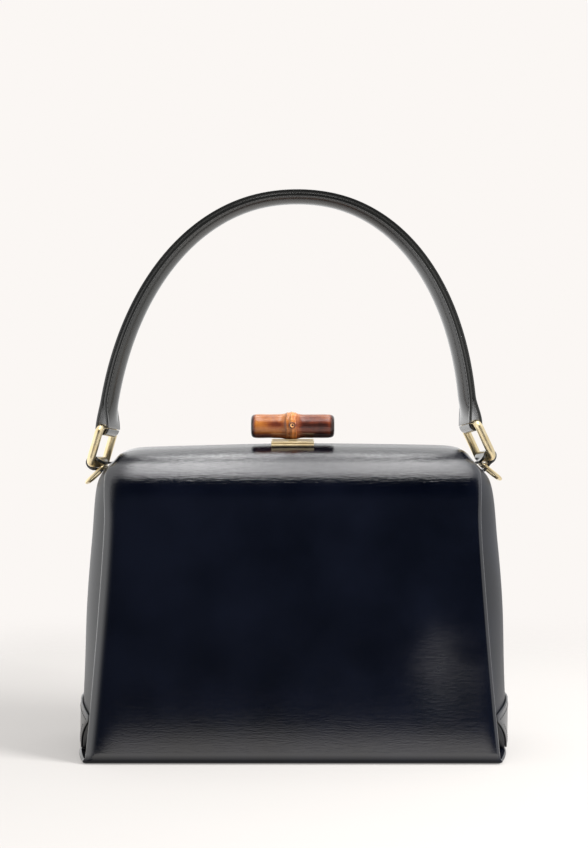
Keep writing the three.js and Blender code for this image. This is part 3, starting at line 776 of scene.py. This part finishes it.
def hook(side):
    """The outer layer's end, half way round the bar from the outside."""
    centre, out, across, _ = strap_station(strap_angle(side, rings[side]["bar_z"]))
    rise = np.cross(out, across)
    rise *= np.sign(rise[2])
    rows = []
    for angle in np.linspace(0, math.pi, HOOK_COUNT):
        normal = out * math.cos(angle) - rise * math.sin(angle)
        shape = strap_section(END_WIDTH, END_THICK, 0, 0)
        rows.append(placed(shape, centre + normal * LOOP_RADIUS, normal, across))
    return rows


def layer(face, crown, narrow, start):
    """Rows of one layer, the outer one for face 1 and the inner one for face -1, and its two seams."""
    ends = [strap_angle(side, rings[side]["bar_z"] + start) for side in (-1, 1)]
    rows, seams = [], ([], [])
    for angle in np.linspace(*ends, ARCH_COUNT):
        centre, out, across, blend = strap_station(angle)
        width, thick = mixed(narrow, LAYER_WIDTH, blend), mixed(END_THICK, LAYER_THICK, blend)
        middle = centre + out * face * mixed(LOOP_RADIUS, LAYER_OFFSET, blend)
        shape = strap_section(width, thick, crown * blend, GROOVE_DEEP * blend)
        rows.append(placed(shape, middle, out * face, across))
        place = width / 2 - EDGE_ROUND - GROOVE_IN
        lift = thick / 2 - blend * GROOVE_DEEP * THREAD_SINK
        for seam, edge in zip(seams, (-1, 1)):
            if blend > SEAM_START:
                seam.append((middle + out * face * lift + across * edge * place, out * face))
    return rows, [stitch_row(*zip(*seam)) for seam in seams]


outer, outer_seams = layer(1, OUTER_CROWN, END_WIDTH, 0)
inner, inner_seams = layer(-1, INNER_CROWN, LAYER_WIDTH, INNER_START)
outer = hook(-1)[::-1] + outer[1:-1] + hook(1)
make_piece("leather_handle_outer", loft(outer), strap_calf, ["handle_outer"])
make_piece("leather_handle_inner", loft(inner), strap_calf, ["handle_inner"])
sew("stitches_handle", outer_seams + inner_seams)

# %% [markdown]
# ## Rings
# The handle rings are cast: heavy round wire in a rectangle with round corners. The strap rings are thinner,
# with a round foot, and hang out of the same leather fold. A loop of wire is a circle drawn round a
# rounded rectangle, closed on itself.

# %% Wire rings
CORNER_COUNT, WIRE_SIDES = 12, 24
RING_CORNER = 3.5
STRAP_WIDTH, STRAP_LENGTH, STRAP_WIRE = 13.4, 14.4, 0.95
STRAP_TOP_CORNER, STRAP_FOOT_CORNER = 2, 5
TAB_SEAT_Z = 167.9
TAB_POCKET, POCKET_TURN = 4.8, 0.75
Y = np.array([0.0, 1.0, 0.0])


def wire_loop(width, length, top_corner, foot_corner, wire, centre, across, along):
    """Circles round a rectangle with round corners, along being the way to its foot."""
    plane = np.cross(across, along)
    turns = full_turn(WIRE_SIDES)
    circles = []
    for quarter, (u, v) in enumerate(((1, 1), (-1, 1), (-1, -1), (1, -1))):
        corner = foot_corner if v > 0 else top_corner
        for angle in np.linspace(quarter, quarter + 1, CORNER_COUNT) * math.pi / 2:
            out = across * math.cos(angle) + along * math.sin(angle)
            pivot = centre + across * u * (width / 2 - corner) + along * v * (length / 2 - corner)
            spot = pivot + out * corner
            circles.append([spot + wire * (out * math.cos(t) + plane * math.sin(t)) for t in turns])
    return loft(circles, ring=True)


def tab_frame(ring, across):
    """Directions of a tab: in to its seat on the gusset, and over it."""
    side = ring["side"]
    seat = np.array([side * float(gusset_face(TAB_SEAT_Z, 0, side)), 0, TAB_SEAT_Z])
    inward = square_to(seat - ring["lower"], across)
    over = np.cross(across, inward)
    return seat, inward, over * np.sign(over[2]), across


for ring in rings.values():
    name, middle = ring["name"], (ring["upper"] + ring["lower"]) / 2
    wire = wire_loop(
        RING_WIDTH, RING_LENGTH, RING_CORNER, RING_CORNER, RING_WIRE, middle, ring["across"], ring["down"])
    make_piece("gold_handle_ring_" + name, wire, pale_gold, ["handle_ring_" + name])
    _, inward, _, across = tab_frame(ring, unit(mixed(ring["across"], Y, POCKET_TURN)))
    slope_down = np.array([ring["side"] * math.cos(ring["hang"]), 0, -math.sin(ring["hang"])])
    down = square_to(slope_down, across)
    middle = ring["lower"] + inward * TAB_POCKET + down * STRAP_LENGTH / 2
    wire = wire_loop(
        STRAP_WIDTH, STRAP_LENGTH, STRAP_TOP_CORNER, STRAP_FOOT_CORNER, STRAP_WIRE, middle, across, down)
    make_piece("gold_strap_ring_" + name, wire, pale_gold, ["strap_ring_" + name])

# %% [markdown]
# ## Tabs
# A tab is a folded strip: out from the gusset, round the handle ring's lower bar and back. Its fold holds the
# bar of the strap ring as well. Its stations come from the same directions as the rings, and a smooth
# line through them gives the soft teardrop that folded leather takes.

# %% Tabs
TAB_THICK, TAB_WIDTH, TAB_END, TAB_OPEN = 1.7, 16.6, 9.8, math.radians(60)
TAB_OVER, TAB_UNDER = 3.4, 3.2
TAB_STEPS, TAB_FINE = 10, 90

for ring in rings.values():
    side = ring["side"]
    seat, inward, over, across = tab_frame(ring, ring["across"])
    radius = RING_WIRE + GAP + TAB_THICK / 2
    fold = []
    for angle in np.linspace(TAB_OPEN, 2 * math.pi - TAB_OPEN, TAB_STEPS + 1):
        normal = inward * math.cos(angle) + over * math.sin(angle)
        width = mixed(TAB_WIDTH, TAB_END, ease((angle - math.pi) / (math.pi - TAB_OPEN)))
        fold.append((ring["lower"] + normal * radius, normal, across, width))
    _, inward, over, across = tab_frame(ring, unit(mixed(ring["across"], Y, POCKET_TURN)))
    half = STRAP_WIRE + GAP + TAB_THICK / 2
    pocket = (ring["lower"] + inward * TAB_POCKET + over * half, over, across, TAB_END)
    lower, upper = (float(gusset_face(TAB_SEAT_Z + step, 0, side)) for step in (-TAB_THICK, TAB_THICK))
    lean = (upper - lower) / (2 * TAB_THICK)
    along, out = unit(np.array([side * lean, 0, 1])), unit(np.array([side, 0, -lean]))
    start = (seat + out * GAP + along * TAB_OVER, along, Y, TAB_END)
    stop = (seat + out * GAP - along * TAB_UNDER, -along, Y, TAB_END)
    stations = [start, pocket, *fold, stop]
    table = np.array([np.concatenate([spot, way, wide, [size]]) for spot, way, wide, size in stations])
    rows = []
    for row in smooth_line(table, np.linspace(0, len(table) - 1, TAB_FINE)):
        spot, way, wide, size = row[:3], unit(row[3:6]), unit(row[6:9]), row[9]
        rows.append(placed(strap_section(size, TAB_THICK, 0, 0), spot, way, wide))
    make_piece("leather_tab_" + ring["name"], loft(rows), strap_calf, ["tab_" + ring["name"]])

# %% [markdown]
# ## Clasp plates
# The two small plates under the bamboo are right as the CAD has them, so they stay and get the gold finish.
# Sheet metal has no knife edges, so a bevel breaks them to catch the light. The fixed plate is folded from
# two thicknesses, whose round edges show as two bright lines: they lie along its front and back as beads.

# %% Clasp plates
BROKEN_EDGE, BROKEN_STEPS = 0.35, 3

for name in ("clasp_plate", "clasp_turn_plate"):
    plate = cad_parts[name]
    plate.data.materials.clear()
    plate.data.materials.append(satin_gold)
    bevel = plate.modifiers.new("broken_edges", "BEVEL")
    bevel.width = BROKEN_EDGE * MM
    bevel.segments = BROKEN_STEPS
    bevel.limit_method = "ANGLE"
    print(name, "keeps its CAD shape, in", satin_gold.name)

# %% Beads of the fixed plate
PLATE_HALF, PLATE_FACE = 12.7, 7.5
BEAD_HEIGHTS, BEAD, BEAD_SIDES = (182.8, 181.3), 0.7, 16
BEAD_TAPER, BEAD_END = 0.2, 0.8


def bead(y, z):
    """A rod along X that is a little thinner at its very ends."""
    turns = full_turn(BEAD_SIDES)
    inner = PLATE_HALF - BEAD_TAPER
    stations = ((-PLATE_HALF, BEAD_END * BEAD), (-inner, BEAD), (inner, BEAD), (PLATE_HALF, BEAD_END * BEAD))
    return loft([
        [(x, y + size * math.cos(t), z + size * math.sin(t)) for t in turns] for x, size in stations])


for name, y in (("front", -PLATE_FACE), ("back", PLATE_FACE)):
    beads = joined(bead(y, z) for z in BEAD_HEIGHTS)
    make_piece("gold_plate_beads_" + name, beads, satin_gold)

# %% [markdown]
# ## The bamboo toggle
# A length of bamboo with one node: the culm swells to a ridge there, with the round scar of a branch on the
# front. The ends are rounded over. It is a loft of circles along X whose radius comes from a table, with the
# ridges and the scar added as small hills and pits.

# %% Bamboo toggle
TOGGLE_Z, TOGGLE_SEAT = 192.6, 7.75
# place along the culm and radius there
TOGGLE_TABLE = np.array([
    (-25.0, 5.0), (-24.5, 6.1), (-23.2, 6.9), (-12, 7.15), (-6.5, 7.3), (-3.2, 8.05), (-0.7, 8.75),
    (1.8, 8.05), (5.0, 7.3), (12, 7.15), (23.2, 6.9), (24.5, 6.1), (25.0, 5.0)])
TOGGLE_HALF, TOGGLE_STRAIGHT = 25, 23.2
TABLE_FINE, END_FINE, CULM_FINE, CULM_SIDES = 400, 16, 170, 120
CAP_SHARES = (0.05, 0.4, 0.75)
# place and height of the node's two ridges and of the groove between them, and their width
RIDGES, RIDGE_WIDE = [(-3.4, 0.3), (1.7, 0.28), (-1.7, -0.22)], 0.6
# how the ridges wander round the culm: waves to a turn, reach and start
WANDER = [(3, 0.25, 0.7), (5, 0.2, 0)]
# height and length of the uneven swell
UNEVEN_CULM = [(0.06, 9), (0.05, 3.1)]
# the branch scar: its place, then the radius, width and height of its rim and its pit
SCAR_X, SCAR_Z, FAR = -0.2, 0.5, 100
SCAR_FORMS = [(1.35, 0.4, 0.35), (0, 0.7, -0.45)]


def hill(value, width):
    return np.exp(-(value / width) ** 2)


def from_scar(x, y, z):
    """Distance from the middle of the scar, which is on the front of the culm alone."""
    return np.hypot(x - SCAR_X, z - SCAR_Z) + FAR * (y > 0)


def end_cap(rim):
    """Ever larger copies of a rim about its middle, which close an end."""
    return [rim.mean(0) + (rim - rim.mean(0)) * share for share in CAP_SHARES]


end = np.linspace(TOGGLE_STRAIGHT, TOGGLE_HALF, END_FINE)[1:]
x = np.concatenate([-end[::-1], np.linspace(-TOGGLE_STRAIGHT, TOGGLE_STRAIGHT, CULM_FINE), end])
fine = smooth_line(TOGGLE_TABLE, np.linspace(0, len(TOGGLE_TABLE) - 1, TABLE_FINE))
radius = np.interp(x, fine[:, 0], fine[:, 1])
along, around = np.meshgrid(x, full_turn(CULM_SIDES), indexing="ij")
wave = sum(reach * np.sin(waves * around + start) for waves, reach, start in WANDER)
ridges = sum(high * hill(along - place + wave, RIDGE_WIDE) for place, high in RIDGES)
swell = sum(high * np.sin(2 * around + along / long) for high, long in UNEVEN_CULM)
size = radius[:, None] + ridges + swell
away = from_scar(along, -size * np.cos(around), size * np.sin(around))
size = size + sum(high * hill(away - reach, wide) for reach, wide, high in SCAR_FORMS)
spot_y, spot_z = -size * np.cos(around), np.maximum(size * np.sin(around), -TOGGLE_SEAT)
culm = np.stack([along, spot_y, spot_z + TOGGLE_Z], axis=2)
points, faces = loft(np.concatenate([end_cap(culm[0]), culm, end_cap(culm[-1])[::-1]]))
toggle = make_piece("bamboo_culm", (points, faces), bamboo, ["bamboo_toggle"], CLASP)

# %% [markdown]
# Where the flame lingered is the maker's choice, so it is drawn as a few soft clouds over the culm, placed
# along it and round it, with dark rims at the ends, lines at the node, and the rings of the scar. The clouds
# low on the culm darken its underside above the plate: they are painted shade, not scorch.

# %% Scorch of the bamboo, and painted shade on its underside
# along X, height, length, width and depth of each cloud
# the clouds at heights -6 and -5.5 lie along the underside, above the plate: painted shade, not scorch
CLOUDS = [
    (-10, 1.0, 6, 2.2, 0.42), (-17, -6.0, 9, 1.8, 0.4), (9, 0.5, 9, 3.2, 0.38), (19, 0.0, 5, 3.5, 0.3),
    (15, -5.5, 12, 2.2, 0.45), (-4, -5.5, 4, 2.5, 0.2), (10, 5.0, 10, 1.8, 0.15), (-14, 5.2, 8, 1.4, 0.12)]
# depth, place and run of the broad shades on the right half, the back and the ends, and of the pale node
ALL_OVER, RIGHT_HALF, BACK, ENDS = 0.02, (0.14, 1, 5), (0.18, -1, 6), (0.6, 21.6, 3.2)
PALE, PALE_X, PALE_LONG = -0.12, -2, 4
# place and depth of the lines at the node, and how wide they are and how far they wander
NODE_LINES, LINE_WIDE, LINE_WANDER = [(-4.4, 0.1), (-2.4, 0.12), (2.6, 0.14)], 0.35, 0.35
# radius, width and depth of the rings of the scar
SCAR_RINGS = [(1.55, 0.3, 0.6), (1.0, 0.28, -0.5), (0, 0.5, 0.9)]
LEAST, MOST = -0.2, 1

x, y, z = points[:, 0], points[:, 1], points[:, 2] - TOGGLE_Z
depth = ALL_OVER + PALE * hill(x - PALE_X, PALE_LONG)
for value, (dark, place, run) in ((x, RIGHT_HALF), (y, BACK), (np.abs(x), ENDS)):
    depth += dark * ease((value - place) / run)
for cloud_x, cloud_z, long, wide, dark in CLOUDS:
    depth += dark * hill(x - cloud_x, long) * hill(z - cloud_z, wide)
waves, _, start = WANDER[0]
wave = LINE_WANDER * np.sin(waves * np.arctan2(z, -y) + start)
for line_x, dark in NODE_LINES:
    depth += dark * hill(x - line_x + wave, LINE_WIDE)
for reach, wide, dark in SCAR_RINGS:
    depth += dark * hill(from_scar(x, y, z) - reach, wide)
# scorch and painted shade go to the mesh as one number
scorch_and_shade = toggle.data.attributes.new("scorch_and_shade", "FLOAT", "POINT")
scorch_and_shade.data.foreach_set("value", np.clip(depth, LEAST, MOST).astype(np.float32))
print("scorch from", depth.min().round(2), "to", depth.max().round(2))

# %% [markdown]
# ## The studio
# A pale floor that fades into a pale background, and soft light. Black glazed leather shows little but what
# it mirrors, so the room is the real material here: bright above and behind, dark towards the camera.
# The leather sees the floor too, as the grey band low on the front. So the floor runs on for more than a
# metre behind the camera, and the top of the band is its horizon.

# %% Floor
PAPER, PAPER_GREY, PAPER_GLOW = "#FBF7F4", "#7C7A78", 0.34
FLOOR_HALF, FLOOR_NEAR, FLOOR_FAR, FLOOR_DROP = 0.5, -3.2, 0.7, 0.0004
# axis, fully there at, gone at
FLOOR_FADES = [("Y", -2.0, -3.0), ("Y", 0.2, 0.6), ("X", -0.2, -0.4), ("X", 0.2, 0.4)]

corners = [
    (-FLOOR_HALF, FLOOR_NEAR, 0), (FLOOR_HALF, FLOOR_NEAR, 0),
    (FLOOR_HALF, FLOOR_FAR, 0), (-FLOOR_HALF, FLOOR_FAR, 0)]
floor_mesh = bpy.data.meshes.new("floor")
floor_mesh.from_pydata(corners, [], [(0, 1, 2, 3)])
floor = bpy.data.objects.new("floor", floor_mesh)
floor.location.z = -FLOOR_DROP
bpy.context.scene.collection.objects.link(floor)
floor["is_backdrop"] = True

paper, tree, shader, place = new_finish("matt_paper_floor")
parts = add(tree, "SeparateXYZ", {0: place})
there = 1
for axis, here, gone in FLOOR_FADES:
    fade = add(
        tree, "MapRange", {"Value": parts.outputs[axis], "From Min": gone, "From Max": here},
        interpolation_type="SMOOTHSTEP")
    there = add(tree, "Math", {0: there, 1: fade}, operation="MULTIPLY")
connect(shader, {
    "Alpha": there, "Base Color": linear(PAPER_GREY), "Roughness": 1, "Specular IOR Level": 0,
    "Emission Color": linear(PAPER), "Emission Strength": PAPER_GLOW})
floor_mesh.materials.append(paper)
print("the floor runs from", FLOOR_NEAR, "to", FLOOR_FAR, "m")

# %% [markdown]
# The room is a light that depends on its direction alone: a bright left wall, a dimmer right one, a bright
# top, and a dark front whose lower half is a little blue. The camera itself sees plain paper behind the bag.

# %% Room
FRONT = linear("#343845")
LEFT, RIGHT, TOP, BLACK = ((light, light, light, 1) for light in (1.35, 0.8, 1.2, 0))

world = bpy.data.worlds.new("room")
world.use_nodes = True
tree = world.node_tree
bpy.context.scene.world = world
way = add(tree, "TexCoord").outputs["Generated"]
level = add(tree, "VectorMath", {0: way, 1: (1, 1, 0)}, operation="MULTIPLY")
heading = add(tree, "SeparateXYZ", {0: add(tree, "VectorMath", {0: level}, operation="NORMALIZE")})
height = add(tree, "SeparateXYZ", {0: way}).outputs["Z"]
# what changes, by which part of the direction, not yet at, fully at
CHANGES = [
    ("to_right", heading.outputs["X"], -0.6, 0.6), ("to_top", height, 0.3, 0.6),
    ("to_black", height, 0.2, 0.4), ("to_front", heading.outputs["Y"], -0.8, -0.93),
    ("under_top", height, 0.82, 0.7)]
change = {}
for name, part, low, high in CHANGES:
    change[name] = add(
        tree, "MapRange", {"Value": part, "From Min": low, "From Max": high},
        interpolation_type="SMOOTHSTEP")
sides = add(tree, "MixRGB", {0: change["to_right"], 1: LEFT, 2: RIGHT})
walls = add(tree, "MixRGB", {0: change["to_top"], 1: sides, 2: TOP})
ahead = add(tree, "MixRGB", {0: change["to_black"], 1: FRONT, 2: BLACK})
dark = add(tree, "Math", {0: change["to_front"], 1: change["under_top"]}, operation="MULTIPLY")
light = add(tree, "MixRGB", {0: dark, 1: walls, 2: ahead})
room = add(tree, "Background", {"Color": light})
backdrop = add(tree, "Background", {"Color": linear(PAPER)})
seen = add(tree, "LightPath").outputs["Is Camera Ray"]
shown = add(tree, "MixShader", {0: seen, 1: room, 2: backdrop})
connect(tree.nodes["World Output"], {"Surface": shown})
bpy.context.scene.view_settings.view_transform = "Standard"
print("room:", len(tree.nodes), "nodes")

# %% [markdown]
# Two long softboxes overhead draw the bright bands along the shoulder, with a gap between them that darkens
# its middle. The outer pair carries their light on to the sides and the floor, but isn't mirrored: in the
# rolled edges of the leather it would draw bands that the real ones don't have. A small window on the right
# throws the soft shadow to the left.

# %% Lamps
SOFTBOX_Y, SOFTBOX_Z, SOFTBOX_DEPTH = -0.255, 1.25, 1.41
# name, x, width, brightness of its face, mirrored by the leather
SOFTBOXES = [
    ("softbox_left", -0.1425, 0.185, 5.6, True), ("softbox_left_outer", -0.3675, 0.265, 3.1, False),
    ("softbox_right", 0.1635, 0.203, 4.2, True), ("softbox_right_outer", 0.3825, 0.235, 2.7, False)]
WINDOW_AT, WINDOW_AIM, WINDOW_SIZE, WINDOW_LIGHT = (1.2, -0.6, 0.8), (0, 0, 0.1), 0.6, 70.0


def hang_lamp(name, place, aim, width, depth, bright, mirrored):
    """A rectangle of light that faces a point."""
    lamp = bpy.data.objects.new(name, bpy.data.lights.new(name, "AREA"))
    lamp.data.shape = "RECTANGLE"
    lamp.data.size, lamp.data.size_y = width, depth
    lamp.data.energy = bright * math.pi * width * depth
    lamp.location = place
    lamp.rotation_euler = (Vector(place) - Vector(aim)).to_track_quat("Z", "Y").to_euler()
    lamp.visible_glossy = mirrored
    bpy.context.scene.collection.objects.link(lamp)
    print(name, "gives", round(lamp.data.energy, 2), "W")


for name, x, width, bright, mirrored in SOFTBOXES:
    below = (x, SOFTBOX_Y, 0)
    hang_lamp(name, (x, SOFTBOX_Y, SOFTBOX_Z), below, width, SOFTBOX_DEPTH, bright, mirrored)
hang_lamp("window_right", WINDOW_AT, WINDOW_AIM, WINDOW_SIZE, WINDOW_SIZE, WINDOW_LIGHT, False)

# %% [markdown]
# ## Size
# The dressed bag should stay the size of the CAD model, so the last line works out the box round every shown
# piece but the floor.

# %% Sizes
low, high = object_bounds()
